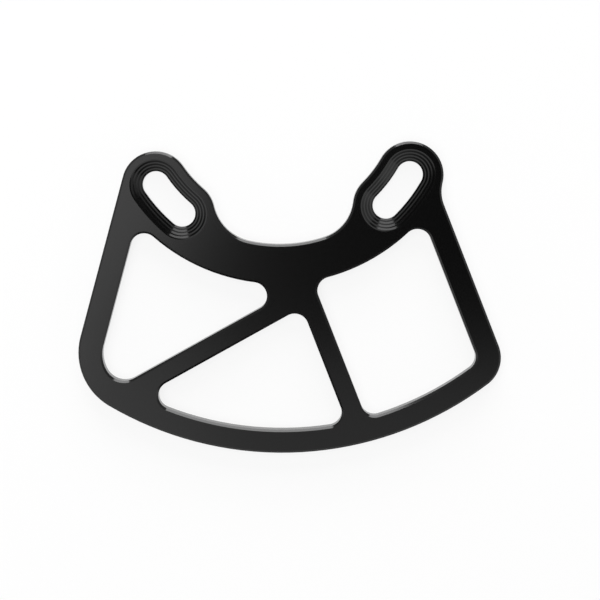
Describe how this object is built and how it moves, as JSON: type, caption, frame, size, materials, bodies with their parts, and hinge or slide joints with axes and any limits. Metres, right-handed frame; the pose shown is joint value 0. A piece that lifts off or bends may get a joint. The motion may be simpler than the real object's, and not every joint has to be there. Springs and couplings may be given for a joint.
{
  "type": "chain guide",
  "caption": "Flat milled backplate of a bicycle chain guide: a fan of bars and spokes below a round hub edge, with countersunk arc slots for its mounting bolts.",
  "frame": {"origin": "on the back face, under the centre of the plate's bounding box", "axes": "+Z out of the front face, where the countersinks are; +Y up the bicycle, from the rim to the hub opening; +X to the right as seen from the front, along the longest extent"},
  "size_m": [0.1026, 0.0758, 0.004],
  "materials": {
    "anodised_aluminium": "satin black anodised over a milled surface"
  },
  "bodies": {
    "root": {"guide_plate": "anodised_aluminium"}
  },
  "joints": []
}
